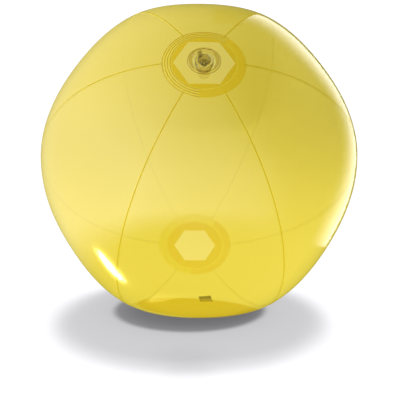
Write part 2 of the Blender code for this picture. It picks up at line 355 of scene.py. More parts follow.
def object_place(tree):
    """The shaded point in the object's own coordinates."""
    return tree.nodes.new("ShaderNodeTexCoord").outputs["Object"]


def noise_texture(tree, scale, detail):
    """Noise fixed to the object."""
    texture = node(tree, "ShaderNodeTexNoise", Scale=scale, Detail=detail, Roughness=0.5)
    tree.links.new(object_place(tree), texture.inputs["Vector"])
    return texture.outputs["Fac"]


def smooth_step(tree, value, low, high):
    """Runs smoothly from low's result to high's, each a pair of (value, result)."""
    made = tree.nodes.new("ShaderNodeMapRange")
    made.interpolation_type = "SMOOTHSTEP"
    for name, number in zip(("From Min", "To Min", "From Max", "To Max"), (*low, *high)):
        made.inputs[name].default_value = number
    tree.links.new(value, made.inputs["Value"])
    return made.outputs["Result"]


def by_ellipsoid(tree, place, centre, half, turn, within, beyond):
    """One value inside an ellipsoid that is turned about Z, and another outside, with a soft edge."""
    inside = tree.nodes.new("ShaderNodeMapping")
    inside.vector_type = "TEXTURE"
    inside.inputs["Location"].default_value = centre
    inside.inputs["Rotation"].default_value = (0, 0, turn)
    inside.inputs["Scale"].default_value = half
    tree.links.new(place, inside.inputs["Vector"])
    reach = vector_maths(tree, "LENGTH", inside.outputs["Vector"])
    start, end = SOFT_EDGE
    return smooth_step(tree, reach, (start, within), (end, beyond))


def bump(tree, height):
    """A Bump node's normal."""
    made = node(tree, "ShaderNodeBump", Strength=BUMP_STRENGTH, Distance=BUMP_DISTANCE)
    tree.links.new(height, made.inputs["Height"])
    return made.outputs["Normal"]


def see_through(tree, facing, normal, look):
    """The shader of clear vinyl, as seen: what it passes, its own haze and its gloss."""
    dense = maths(tree, "POWER", facing, look["rim_power"])
    clear = node(tree, "ShaderNodeBsdfTransparent", Color=(*look["tint"], 1))
    rim = node(tree, "ShaderNodeBsdfTransparent", Color=(*look["rim"], 1))
    passing = mixed(tree, dense, clear.outputs[0], rim.outputs[0])

    lit = node(tree, "ShaderNodeBsdfDiffuse", Color=(*look["body"], 1))
    through = node(tree, "ShaderNodeBsdfTranslucent", Color=(*look["body"], 1))
    own = mixed(tree, 0.5, lit.outputs[0], through.outputs[0])
    blotches = maths(tree, "SUBTRACT", noise_texture(tree, BLOTCH_SCALE, 4.0), 0.5)
    uneven = maths(tree, "MULTIPLY", blotches, look["haze"] * 0.5)
    film = mixed(tree, maths(tree, "ADD", uneven, look["haze"]), passing, own)

    mirror = node(tree, "ShaderNodeBsdfAnisotropic", Color=(*look["glint"], 1), Roughness=look["gloss"])
    for shader in (lit, through, mirror):
        tree.links.new(normal, shader.inputs["Normal"])
    edge = maths(tree, "POWER", facing, 5.0)
    weight = maths(tree, "MULTIPLY_ADD", edge, look["rim_shine"], look["shine"])
    return mixed(tree, weight, film, mirror.outputs[0])


def for_lamps(tree, facing):
    """How lamps find the vinyl: grey, clear where they graze it, and dark in the ball's underside.

    So the ball's shadow is grey, a little smaller than the ball, and dark round where it stands.
    """
    layer = smooth_step(tree, facing, *LAMP_LAYER)
    place = object_place(tree)
    under = by_ellipsoid(tree, place, UNDERSIDE_CENTRE, UNDERSIDE_HALF, 0, UNDERSIDE_SHARE, 1.0)
    share = maths(tree, "MULTIPLY", layer, under)
    clear = tree.nodes.new("ShaderNodeBsdfTransparent")
    blocked = node(tree, "ShaderNodeBsdfTransparent", Color=(0, 0, 0, 1))
    return mixed(tree, share, blocked.outputs[0], clear.outputs[0])


def vinyl(name, look, inner=None):
    """A clear vinyl material. Its inner side may have a look of its own."""
    look = {**PLAIN_LOOK, **look}
    material = bpy.data.materials.new(name)
    tree = blank_tree(material)
    fine = noise_texture(tree, look["grain"], 3.0)
    coarse = maths(tree, "MULTIPLY", noise_texture(tree, BLOTCH_SCALE, 1.0), BLOTCH_TILT)
    normal = bump(tree, maths(tree, "ADD", fine, coarse))
    facing = node(tree, "ShaderNodeLayerWeight", Blend=0.5).outputs["Facing"]
    seen = see_through(tree, facing, normal, look)
    if inner:
        side = tree.nodes.new("ShaderNodeNewGeometry").outputs["Backfacing"]
        seen = mixed(tree, side, seen, see_through(tree, facing, normal, {**look, **inner}))
    path = tree.nodes.new("ShaderNodeLightPath")
    whole = mixed(tree, path.outputs["Is Camera Ray"], for_lamps(tree, facing), seen)
    put_out(tree, "ShaderNodeOutputMaterial", whole)
    material.diffuse_color = (*look["body"], 0.5)
    return material


# A look: what the vinyl passes face on (tint) and edge on (rim), and how late one turns into the
# other (rim_power); its own colour (body) and how much of it shows (haze); the roughness of its shine
# (gloss), that shine's strength face on (shine) and edge on (rim_shine) and its colour (glint)
PLAIN_LOOK = {
    "tint": (0.925, 0.825, 0.236),
    "body": (0.95, 0.90, 0.35),
    "haze": 0.04,
    "rim": (0.70, 0.64, 0.15),
    "rim_power": 7.0,
    "gloss": 0.10,
    "shine": 0.042,
    "rim_shine": 0.10,
    "glint": (1, 1, 1),
    "grain": 1400.0,
}
MATT = {"haze": 0.0, "shine": 0.0}
YELLOW_GLINT = (1.0, 0.93, 0.35)
PALE_GLINT = (1.0, 0.96, 0.5)


def film_vinyl():
    """The gores' film, a little duller on its inner face."""
    return vinyl("film", {}, {"gloss": 0.12, "shine": 0.03})


def patch_vinyl():
    """A patch's free film."""
    return vinyl("patch_film", {**MATT, "tint": (0.955, 0.88, 0.56)})


def pressed_vinyl():
    """The plain arc of a weld band, pressed to one deeper yellow layer with the gores."""
    return vinyl("pressed_film", {**MATT, "tint": (0.96, 0.875, 0.34)})


def hem_vinyl():
    """The hems, which hardly show through the film."""
    pale = {"tint": (1.0, 1.0, 0.96), "rim": (1.0, 1.0, 0.9), "haze": 0.0, "glint": YELLOW_GLINT}
    return vinyl("hem", {**pale, "gloss": 0.4, "shine": 0.02, "rim_shine": 0.0})


def weld_and_painted_shade_vinyl():
    """A seam's melted line: darker from outside, partly as the weld and partly as painted shade of the
    crease, and pale from inside as painted light from behind.
    """
    # Painted shade on the outer face and painted light on the inner face, besides the weld's own darker
    # tint
    dark = {**MATT, "tint": (0.87, 0.79, 0.05), "rim_shine": 0.05}
    return vinyl("weld", dark, {"tint": (0.985, 0.965, 0.70), "rim": (1.0, 0.98, 0.7)})


def rib_vinyl():
    """The ribs of the upper weld band, dark at their sides and glossy on top."""
    dark = {"tint": (0.84, 0.74, 0.18), "rim": (0.70, 0.62, 0.15), "haze": 0.0, "glint": PALE_GLINT}
    return vinyl("weld_rib", {**dark, "gloss": 0.15, "shine": 0.05, "rim_shine": 0.3})


def faint_vinyl(name, tint):
    """Film that only tints what is behind it, with no gloss and no dark edges."""
    return vinyl(name, {**MATT, "tint": tint, "rim": tint, "rim_shine": 0.0})


def band_vinyl():
    """The ribbed arc of a weld band, between its ribs."""
    return vinyl("weld_band", {"tint": (1.0, 0.98, 0.58), "haze": 0.0, "glint": YELLOW_GLINT})


CLEAR_LOOK = {
    "tint": (0.985, 0.98, 0.90),
    "body": (0.80, 0.76, 0.50),
    "haze": 0.0,
    "rim": (0.28, 0.22, 0.03),
    "rim_power": 1.6,
    "gloss": 0.08,
    "shine": 0.01,
    "rim_shine": 0.08,
    "grain": 900.0,
}


def clear_vinyl(name, **look):
    """The valve's clear vinyl, with what this part of it changes."""
    return vinyl(name, {**CLEAR_LOOK, **look})


def valve_vinyl():
    """The flange."""
    return clear_vinyl("valve", rim=(0.62, 0.54, 0.16))


def collar_vinyl():
    """The collar's thin wall."""
    return clear_vinyl("collar", tint=(0.98, 0.96, 0.86), rim=(0.66, 0.60, 0.30))


def bead_vinyl():
    """The beads and the flange's ticks, which show as darker lines."""
    return clear_vinyl("bead", tint=(0.84, 0.78, 0.40), rim=(0.40, 0.34, 0.08), shine=0.03)


def stem_vinyl():
    """The stem and the flap, the clearest parts."""
    return clear_vinyl("stem", tint=(0.995, 0.99, 0.96), rim=(0.93, 0.89, 0.66), rim_shine=0.03)


def plug_vinyl():
    """The plug and its strap, the darkest parts."""
    return clear_vinyl("plug", tint=(0.90, 0.87, 0.66), haze=0.02, rim=(0.12, 0.09, 0.01))


def painted_shadow_vinyl():
    """A dark see-through tint on the film, the painted shadow of the valve's stem."""
    return vinyl("painted_shadow", {**MATT, "tint": (0.38, 0.35, 0.04)})


# ------------------------ mesh helpers


def placed(name, data):
    """A new object in the scene."""
    thing = bpy.data.objects.new(name, data)
    bpy.context.scene.collection.objects.link(thing)
    return thing


def add_piece(name, points, faces, material, body, slot, *nodes):
    """A smooth mesh piece that rides on a body and stands for CAD nodes."""
    mesh = bpy.data.meshes.new(name)
    mesh.from_pydata(points, [], faces)
    mesh.validate()
    mesh.shade_smooth()
    mesh.materials.append(material)
    piece = placed(name, mesh)
    if body:
        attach(piece, body)
    if nodes:
        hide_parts(*nodes)
    return piece


def add_film(name, points, faces, material, *nodes):
    """An open sheet of the ball's film, with its faces turned out."""
    piece = add_piece(name, points, faces, material, "ball", "yellow_film", *nodes)
    face = piece.data.polygons[len(faces) // 2]
    if (Vector(face.center) - CENTRE).dot(face.normal) < 0:
        piece.data.flip_normals()
    return piece


def tidy_normals(piece):
    """Makes a closed piece's faces look out."""
    shape = bmesh.new()
    shape.from_mesh(piece.data)
    bmesh.ops.recalc_face_normals(shape, faces=shape.faces)
    shape.to_mesh(piece.data)
    shape.free()


def sheet_faces(rows, width, wrap=False):
    """Quads between rows of width points each. With wrap, each row closes on itself."""
    faces = []
    for i in range(rows - 1):
        near = i * width
        far = near + width
        for k in range(width if wrap else width - 1):
            step = (k + 1) % width
            faces.append((near + k, near + step, far + step, far + k))
    return faces


def tube_faces(rings, around):
    """The faces of a closed tube: quads between its rings, and one face across each end."""
    end = (rings - 1) * around
    ends = [tuple(range(around)), tuple(range(end, end + around))]
    return sheet_faces(rings, around, wrap=True) + ends


def rounded(profile):
    """A closed profile of (radius, height, fillet) as points, with each corner made an arc."""
    points = []
    count = len(profile)
    for k, (x, y, fillet) in enumerate(profile):
        corner = Vector((x, y))
        before = Vector(profile[k - 1][:2]) - corner
        after = Vector(profile[(k + 1) % count][:2]) - corner
        if fillet == 0 or x == 0:
            points.append(corner)
            continue
        angle = before.angle(after)
        reach = min(fillet / math.tan(angle / 2), 0.48 * before.length, 0.48 * after.length)
        start = corner + before.normalized() * reach
        end = corner + after.normalized() * reach
        for step in range(FILLET_STEPS + 1):
            t = step / FILLET_STEPS
            points.append(start * (1 - t) ** 2 + corner * (2 * t * (1 - t)) + end * t**2)
    return points


def turned(name, profile, body, material, *nodes):
    """A turned piece of the valve, from a closed profile of (radius, height, fillet)."""
    points = []
    rings = []
    for pair in rounded(profile):
        count = 1 if pair.x < 1e-7 else TURNED_SEGMENTS
        rings.append(list(range(len(points), len(points) + count)))
        for k in range(count):
            angle = 2 * math.pi * k / TURNED_SEGMENTS
            here = Vector((pair.x * math.cos(angle), pair.x * math.sin(angle), pair.y))
            points.append(VALVE_FRAME @ here)
    faces = []
    for ring, after in zip(rings, rings[1:] + rings[:1]):
        if len(ring) == 1 and len(after) == 1:
            continue
        for k in range(TURNED_SEGMENTS):
            step = (k + 1) % TURNED_SEGMENTS
            start = ring if len(ring) == 1 else [ring[k], ring[step]]
            end = after if len(after) == 1 else [after[step], after[k]]
            faces.append(start + end)
    piece = add_piece(name, points, faces, material, body, "clear_vinyl", *nodes)
    tidy_normals(piece)
    return piece


# ------------------------ the film


def add_gore(number, material):
    """One gore's sheet, from the valve's window to the base window."""
    middle = (number - 0.5) * GORE_ANGLE
    points = []
    for i in range(FILM_ROWS + 1):
        for k in range(FILM_COLUMNS + 1):
            t = 2 * k / FILM_COLUMNS - 1
            offset = math.copysign(1 - (1 - abs(t)) ** EDGE_CROWDING, t) * GORE_ANGLE / 2
            first = window_colatitude(offset, VALVE_WINDOW)
            last = math.pi - window_colatitude(offset, BASE_WINDOW)
            points.append(film_point(first + (last - first) * i / FILM_ROWS, middle + offset))
    faces = sheet_faces(FILM_ROWS + 1, FILM_COLUMNS + 1)
    add_film(f"gore_film_{number}", points, faces, material, f"gore_{number}")


def seam_ends():
    """Where a seam's weld and hems start and end, under the patches that press them flat."""
    under = math.asin((PATCH_RADIUS - SEAM_OVERLAP) / BALL_RADIUS)
    return under, math.pi - under


def seam_point(number, colatitude, offset, depth):
    """A point this far to a seam's side and below the film's face, but above the floor."""
    longitude = (number - 1) * GORE_ANGLE + offset / (BALL_RADIUS * math.sin(colatitude))
    place = film_point(colatitude, longitude, -depth)
    if place.z < depth:
        place.z = min(depth, HEM_ON_FLOOR)
    return place


def add_seam_weld(number, material):
    """The melted line in a seam's crease."""
    first, last = seam_ends()
    columns = 4
    points = []
    for i in range(FILM_ROWS + 1):
        colatitude = first + (last - first) * i / FILM_ROWS
        for k in range(columns + 1):
            offset = WELD_WIDTH * (k / columns - 0.5)
            points.append(seam_point(number, colatitude, offset, -WELD_LIFT))
    faces = sheet_faces(FILM_ROWS + 1, columns + 1)
    piece = add_film(f"seam_weld_{number}", points, faces, material)
    piece.visible_shadow = False


def add_seam_hems(number, material):
    """The two hems of a seam, which stand into the ball as one narrow fin."""
    first, last = seam_ends()
    half = HEM_THICKNESS / 2
    points = []
    for i in range(FILM_ROWS + 1):
        colatitude = first + (last - first) * i / FILM_ROWS
        depth = HEM_DEPTH + HEM_RIPPLE * noise.noise(Vector((i * 0.9, number * 3.1, 0)))
        for offset, below in ((-half, HEM_TOP), (half, HEM_TOP), (half, depth), (-half, depth)):
            points.append(seam_point(number, colatitude, offset, below))
    faces = tube_faces(FILM_ROWS + 1, 4)
    piece = add_piece(f"seam_hems_{number}", points, faces, material, "ball", "yellow_film")
    tidy_normals(piece)
    piece.data.set_sharp_from_angle(angle=40 * DEGREE)
    piece.visible_shadow = False


def patch_colatitude(distance, at_base):
    """Colatitude of the film this far from the ball's axis, at the valve's end or at the base."""
    colatitude = math.asin(distance / BALL_RADIUS)
    return math.pi - colatitude if at_base else colatitude


def patch_sheet(name, distances, at_base, start, end, material, *nodes):
    """A ring of patch film over the given distances from its middle, from start round to end."""
    whole = end - start > 359 * DEGREE
    segments = max(8, round((end - start) / (2 * DEGREE)))
    around = segments if whole else segments + 1
    points = []
    for distance in distances:
        colatitude = patch_colatitude(distance, at_base)
        drop = PATCH_LIFT * max(0.0, 1 - (PATCH_RADIUS - distance) / EDGE_TAPER)
        for k in range(around):
            angle = start + (end - start) * k / segments
            points.append(film_point(colatitude, angle, PATCH_LIFT - 0.7 * drop))
    faces = sheet_faces(len(distances), around, wrap=whole)
    if distances[0] <= MIDDLE:
        faces.append(tuple(reversed(range(around))))
    add_film(name, points, faces, material, *nodes)


def add_lap(name, window, end, at_base, material):
    """Where a patch lies on the gores, from the window's edge out. The films cling and look darker."""
    rows = 4
    columns = 30 * GORES
    last = math.asin(end / BALL_RADIUS)
    points = []
    for i in range(rows + 1):
        for k in range(columns):
            longitude = 2 * math.pi * k / columns
            from_seam = (longitude + GORE_ANGLE / 2) % GORE_ANGLE - GORE_ANGLE / 2
            first = window_colatitude(GORE_ANGLE / 2 - abs(from_seam), window)
            colatitude = first + (last - first) * i / rows
            colatitude = math.pi - colatitude if at_base else colatitude
            points.append(film_point(colatitude, longitude, PATCH_LIFT / 2))
    add_film(name, points, sheet_faces(rows + 1, columns, wrap=True), material)


def add_rib(name, radius, at_base, start, end, material):
    """A low rounded rib of a weld band, which tapers off at both ends."""
    segments = max(8, round((end - start) / (2.5 * DEGREE)))
    around = 8
    points = []
    for k in range(segments + 1):
        angle = start + (end - start) * k / segments
        ease = min(1.0, 8 * k / segments, 8 * (segments - k) / segments)
        for n in range(around):
            turn = 2 * math.pi * n / around
            colatitude = patch_colatitude(radius + RIB_WIDTH / 2 * math.cos(turn), at_base)
            lift = PATCH_LIFT + RIB_HEIGHT * (0.1 + 0.5 * ease) * math.sin(turn)
            points.append(film_point(colatitude, angle, lift))
    faces = tube_faces(segments + 1, around)
    piece = add_piece(name, points, faces, material, "ball", "yellow_film")
    tidy_normals(piece)
    piece.visible_shadow = False


def add_patch(name, hole, window, at_base, materials, cad_node):
    """A round patch: its free film, its lap on the gores, and its weld band with a ribbed arc."""
    free, lap, pressed, band, rib, thin = materials
    steps = 14
    inner = PATCH_RADIUS - BAND_WIDTH
    film = inner - THIN_WIDTH
    distances = [max(MIDDLE, hole + (film - hole) * k / steps) for k in range(steps + 1)]
    patch_sheet(f"{name}_film", distances, at_base, 0, 2 * math.pi, free, cad_node)
    add_lap(f"{name}_lap", window, film, at_base, lap)
    patch_sheet(f"{name}_thin_line", (film, inner), at_base, 0, 2 * math.pi, thin)
    across = [inner + BAND_WIDTH * k / steps for k in range(steps + 1)]
    start, end = PLAIN_ARC
    patch_sheet(f"{name}_band_1", across, at_base, start, end, pressed)
    patch_sheet(f"{name}_band_2", across, at_base, end, start + 2 * math.pi, band)
    for k, radius in enumerate(RIB_RADII):
        add_rib(f"{name}_rib_{k + 1}", radius, at_base, end, start + 2 * math.pi, rib)


def add_painted_stem_shadow(material):
    """A painted shadow of the valve's stem: a small dark rectangle on the film, behind the middle of
    the flat that the ball stands on.
    """
    rows = 10
    columns = 10
    points = []
    for i in range(rows + 1):
        for k in range(columns + 1):
            colatitude = MARK_COLATITUDE + (i / rows - 0.5) * MARK_LENGTH / BALL_RADIUS
            across = (k / columns - 0.5) * MARK_WIDTH / (BALL_RADIUS * math.sin(colatitude))
            points.append(film_point(colatitude, MARK_LONGITUDE + across, MARK_LIFT))
    add_film("print_mark", points, sheet_faces(rows + 1, columns + 1), material)


# ------------------------ the valve


def crown(distance):
    """Height of the film's face at this distance from the valve's axis."""
    colatitude = math.asin(distance / BALL_RADIUS)
    return ball_radius(colatitude, 0) * math.cos(colatitude) - ball_radius(0, 0)


def add_flange(material):
    """The flange: a ring that follows the film, with a lip at its bore and a raised rim."""
    rim = FLANGE_RADIUS - RIM_WIDTH
    profile = [
        (FLANGE_BORE, FLANGE_UNDER, 0.1 * MM),
        (FLANGE_BORE, FLANGE_TOP + 0.3 * MM, 0.25 * MM),
        (FLANGE_BORE + 0.6 * MM, FLANGE_TOP + 0.3 * MM, 0.3 * MM),
        (FLANGE_BORE + 1.0 * MM, FLANGE_TOP + crown(FLANGE_BORE), 0.3 * MM),
        (rim - 0.2 * MM, FLANGE_TOP + crown(rim), 0.25 * MM),
        (rim + 0.1 * MM, FLANGE_TOP + crown(rim) + 0.5 * MM, 0.3 * MM),
        (FLANGE_RADIUS - 0.2 * MM, FLANGE_TOP + crown(rim) + 0.5 * MM, 0.3 * MM),
        (FLANGE_RADIUS, FLANGE_TOP + crown(rim) - 0.1 * MM, 0.2 * MM),
        (FLANGE_RADIUS, FLANGE_UNDER + crown(FLANGE_RADIUS), 0.1 * MM),
    ]
    turned("valve_flange_ring", profile, "ball", material, "valve_flange")


def add_bead(name, radius, height, half, body, material):
    """A thin rounded bead round the valve's axis."""
    profile = [
        (radius - half, height - half, half),
        (radius + half, height - half, half),
        (radius + half, height + half, half),
        (radius - half, height + half, half),
    ]
    turned(name, profile, body, material)


def add_beads(material):
    """The beads that edge the flange, the stem's mouth and the plug's head."""
    half = 0.2 * MM
    under = FLANGE_UNDER + crown(FLANGE_RADIUS)
    inside = FLANGE_RADIUS - RIM_WIDTH - 0.3 * MM
    on_top = FLANGE_TOP + crown(inside) + 0.1 * MM
    add_bead("flange_outer_bead", FLANGE_RADIUS - 0.1 * MM, under + half, half, "ball", material)
    add_bead("flange_inner_bead", inside, on_top, half, "ball", material)
    add_bead("stem_mouth_bead", STEM_RADIUS - 0.3 * MM, STEM_TOP - 0.5 * MM, half, "stem", material)
    add_bead("plug_head_bead", PLUG_RADIUS - 0.3 * MM, STEM_TOP + 1.45 * MM, half, "plug", material)


def add_flange_ticks(material):
    """Raised ticks on the flange, in two short arcs. Each is a low block, narrower at its top."""
    pitch = 9.5 * DEGREE
    points = []
    faces = []
    middle = (FLANGE_BORE + 1.0 * MM + FLANGE_RADIUS - RIM_WIDTH) / 2
    foot = FLANGE_TOP + crown(middle) - 0.1 * MM
    for side in (0, math.pi):
        for k in range(-4, 5):
            turn = Matrix.Rotation(side + k * pitch, 4, "Z")
            start = len(points)
            for high in (0, 1):
                half_long = (0.75 - 0.12 * high) * MM
                half_wide = (0.32 - 0.1 * high) * MM
                level = foot + high * 0.32 * MM
                for x, y in ((-1, -1), (1, -1), (1, 1), (-1, 1)):
                    here = Vector((middle + x * half_long, y * half_wide, level))
                    points.append(VALVE_FRAME @ (turn @ here))
            faces.append(tuple(start + n for n in (3, 2, 1, 0)))
            faces.append(tuple(start + n for n in (4, 5, 6, 7)))
            for n in range(4):
                after = (n + 1) % 4
                faces.append((start + n, start + after, start + 4 + after, start + 4 + n))
    piece = add_piece("flange_ticks", points, faces, material, "ball", "clear_vinyl")
    piece.data.set_sharp_from_angle(angle=30 * DEGREE)


def add_collar(material):
    """The thin collar. It has extra rings, because it stretches when the stem is pulled up."""
    outer = FLANGE_BORE - 0.1 * MM
    inner = STEM_RADIUS + 0.1 * MM
    wall = 0.5 * MM
    pitch = 0.7 * MM
    profile = [
        (outer, COLLAR_TOP, 0.2 * MM),
        (outer, -2.0 * MM, 0.6 * MM),
        (inner + wall + 0.2 * MM, COLLAR_END + 0.9 * MM, 0.5 * MM),
        (inner + wall / 2, COLLAR_END, 0.2 * MM),
        (inner, COLLAR_END, 0.1 * MM),
        (inner, COLLAR_END + wall, 0.1 * MM),
        (inner + wall, COLLAR_END + 1.6 * MM, 0.4 * MM),
        (outer - wall, -1.8 * MM, 0.6 * MM),
        (outer - wall, COLLAR_TOP, 0.2 * MM),
    ]
    dense = []
    for k, (x, y, fillet) in enumerate(profile):
        dense.append((x, y, fillet))
        after = profile[(k + 1) % len(profile)]
        span = math.hypot(after[0] - x, after[1] - y)
        extra = int(span / pitch)
        for n in range(1, extra):
            t = n / extra
            dense.append((x + (after[0] - x) * t, y + (after[1] - y) * t, 0))
    piece = turned("collar_sleeve", dense, None, material, "valve_collar")
    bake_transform(piece)


def add_stem(material):
    """The stem: a tube with a rounded mouth and a slight waist where the collar lies round it."""
    profile = [
        (BORE_RADIUS, STEM_END, 0.15 * MM),
        (BORE_RADIUS, STEM_TOP - 0.4 * MM, 0.1 * MM),
        (BORE_RADIUS + 0.3 * MM, STEM_TOP, 0.1 * MM),
        (STEM_RADIUS - 0.1 * MM, STEM_TOP, 0.25 * MM),
        (STEM_RADIUS, STEM_TOP - 0.5 * MM, 0.2 * MM),
        (STEM_RADIUS - 0.15 * MM, -2.0 * MM, 0.5 * MM),
        (STEM_RADIUS, COLLAR_END + 0.8 * MM, 0.4 * MM),
        (STEM_RADIUS, STEM_END, 0.25 * MM),
    ]
    turned("stem_tube", profile, "stem", material, "valve_stem")


def add_plug(material):
    """The plug: a round head with a raised edge, on a hollow tapered shank."""
    under = STEM_TOP + 0.3 * MM
    top = under + 1.2 * MM
    profile = [
        (0, top - 0.55 * MM, 0),
        (0.35 * MM, top - 0.55 * MM, 0.1 * MM),
        (0.6 * MM, top - 0.1 * MM, 0.15 * MM),
        (2.9 * MM, top - 0.15 * MM, 0.3 * MM),
        (3.3 * MM, top, 0.2 * MM),
        (PLUG_RADIUS - 0.1 * MM, top, 0.35 * MM),
        (PLUG_RADIUS, under + 0.1 * MM, 0.2 * MM),
        (2.95 * MM, under, 0.15 * MM),
        (2.9 * MM, under - 1.5 * MM, 0.5 * MM),
        (2.65 * MM, under - 3.0 * MM, 0.5 * MM),
        (2.2 * MM, under - 4.3 * MM, 0.3 * MM),
        (1.5 * MM, under - 4.3 * MM, 0.2 * MM),
        (1.5 * MM, under, 0.3 * MM),
        (0, under, 0),
    ]
    turned("plug_cap", profile, "plug", material, "stopper_plug")


def smooth_path(points, steps):
    """Points along a smooth curve through the given ones."""
    ends = [2 * points[0] - points[1], *points, 2 * points[-1] - points[-2]]
    path = []
    for before, start, end, after in zip(ends, ends[1:], ends[2:], ends[3:]):
        for k in range(steps):
            t = k / steps
            path.append(
                start
                + (end - before) * (t / 2)
                + (before - 2.5 * start + 2 * end - after / 2) * t**2
                + (1.5 * start - before / 2 - 1.5 * end + after / 2) * t**3
            )
    return [*path, points[-1]]


def add_strap(material):
    """The plug's strap: a flat ribbon with rounded edges, from the stem over onto the plug.

    Its route is (out from the valve's axis, up from the film's face), in millimetres.
    """
    route = [
        (5.05, -1.0),
        (5.05, 0.8),
        (5.35, 1.9),
        (6.1, 3.0),
        (6.3, 4.1),
        (5.7, 4.9),
        (4.8, 4.8),
        (4.2, 4.0),
        (3.7, 3.35),
        (2.9, 2.75),
    ]
    path = smooth_path([Vector((out * MM, 0, up * MM)) for out, up in route], 6)
    turn = Matrix.Rotation(STRAP_BEARING, 4, "Z")
    across = Vector((0, 1, 0))
    around = 16
    points = []
    for k, point in enumerate(path):
        along = (path[min(k + 1, len(path) - 1)] - path[max(k - 1, 0)]).normalized()
        face = along.cross(across)
        for n in range(around):
            angle = 2 * math.pi * n / around
            flat = math.copysign(abs(math.cos(angle)) ** 0.5, math.cos(angle)) * STRAP_HALF_WIDTH
            thick = math.copysign(abs(math.sin(angle)) ** 0.8, math.sin(angle)) * STRAP_HALF_THICKNESS
            points.append(VALVE_FRAME @ (turn @ (point + across * flat + face * thick)))
    faces = tube_faces(len(path), around)
    piece = add_piece("strap_ribbon", points, faces, material, None, "clear_vinyl", "plug_strap")
    tidy_normals(piece)
    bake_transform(piece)


def add_flap(material):
    """The check flap: a thin disc under the stem's end, with a straight tab at its hinge."""
    segments = 64
    radius = 4.2 * MM
    tab_reach = 4.9 * MM
    tab_half = 1.2 * MM
    half = 0.25 * MM
    middle = STEM_END - 0.55 * MM
    points = []
    for level in (middle - half, middle + half):
        for k in range(segments):
            angle = 2 * math.pi * k / segments
            along = radius * math.cos(angle)
            side = radius * math.sin(angle)
            if abs(side) < tab_half and along > 0:
                along = tab_reach
            points.append(VALVE_FRAME @ Vector((-side, along, level)))
    faces = [tuple(range(segments)), tuple(range(segments, 2 * segments))]
    for k in range(segments):
        step = (k + 1) % segments
        faces.append((k, step, segments + step, segments + k))
    piece = add_piece("flap_disc", points, faces, material, "flap", "clear_vinyl", "check_flap")
    tidy_normals(piece)
    piece.data.set_sharp_from_angle(angle=40 * DEGREE)


# ------------------------ the stage


def floor_behind(tree, place):
    """Painted light on the floor as seen through the film: it glows with its own brightness.

    The studio in which the ball was lit was brighter near the floor and to the left, and that light
    is painted in here; the shadow under the ball doesn't show inside it. Where the ball stands, the
    floor is painted deep yellow, as painted light that has come through the film.
    """
    split = tree.nodes.new("ShaderNodeSeparateXYZ")
    tree.links.new(place, split.inputs[0])
    right, back = split.outputs["X"], split.outputs["Y"]
    least, most = BEHIND_SIDES
    away = smooth_step(tree, back, *BEHIND_LEVEL)
    across = maths(tree, "MAXIMUM", maths(tree, "MINIMUM", right, most), least)
    slant = maths(tree, "MULTIPLY", across, smooth_step(tree, back, *BEHIND_SLANT))
    # Painted light: deep yellow where the ball stands, as light that has come through the film
    painted_yellow = tree.nodes.new("ShaderNodeMix")
    painted_yellow.data_type = "RGBA"
    painted_yellow.inputs["A"].default_value = (1, 1, 1, 1)
    painted_yellow.inputs["B"].default_value = CONTACT_PAINTED_LIGHT
    contact = by_ellipsoid(tree, place, (0, 0, 0), CONTACT_HALF, CONTACT_TURN, 1.0, 0.0)
    tree.links.new(contact, painted_yellow.inputs["Factor"])
    behind = tree.nodes.new("ShaderNodeEmission")
    tree.links.new(painted_yellow.outputs["Result"], behind.inputs["Color"])
    tree.links.new(maths(tree, "ADD", away, slant), behind.inputs["Strength"])
    return behind.outputs[0]


def floor_mirrored(tree, place):
    """The floor as the film mirrors it: dark in front of the ball, and no floor further out."""
    distance = vector_maths(tree, "DISTANCE", place, DARK_MIDDLE)
    clearing = smooth_step(tree, distance, *DARK_FADE)
    dark = node(tree, "ShaderNodeEmission", Color=(1, 1, 1, 1), Strength=DARK_LEVEL)
    passed = tree.nodes.new("ShaderNodeBsdfTransparent")
    return mixed(tree, clearing, dark.outputs[0], passed.outputs[0])


def add_floor():
    """The pale floor, with painted light of its own through the film and another look in its
    reflections.
    """
    half = FLOOR_HALF
    corners = [(-half, -half, 0), (half, -half, 0), (half, half, 0), (-half, half, 0)]
    mesh = bpy.data.meshes.new("floor")
    mesh.from_pydata(corners, [], [(0, 1, 2, 3)])
    material = bpy.data.materials.new("floor")
    tree = blank_tree(material)
    place = object_place(tree)
    paper = node(tree, "ShaderNodeBsdfDiffuse", Color=FLOOR_COLOUR)
    path = tree.nodes.new("ShaderNodeLightPath")
    veiled = maths(tree, "GREATER_THAN", path.outputs["Transparent Depth"], 0.5)
    share = maths(tree, "MULTIPLY", veiled, path.outputs["Is Camera Ray"])
    seen = mixed(tree, share, paper.outputs[0], floor_behind(tree, place))
    whole = mixed(tree, path.outputs["Is Glossy Ray"], seen, floor_mirrored(tree, place))
    put_out(tree, "ShaderNodeOutputMaterial", whole)
    mesh.materials.append(material)
    floor = placed("floor", mesh)
    floor.location.z = -FLOOR_DROP


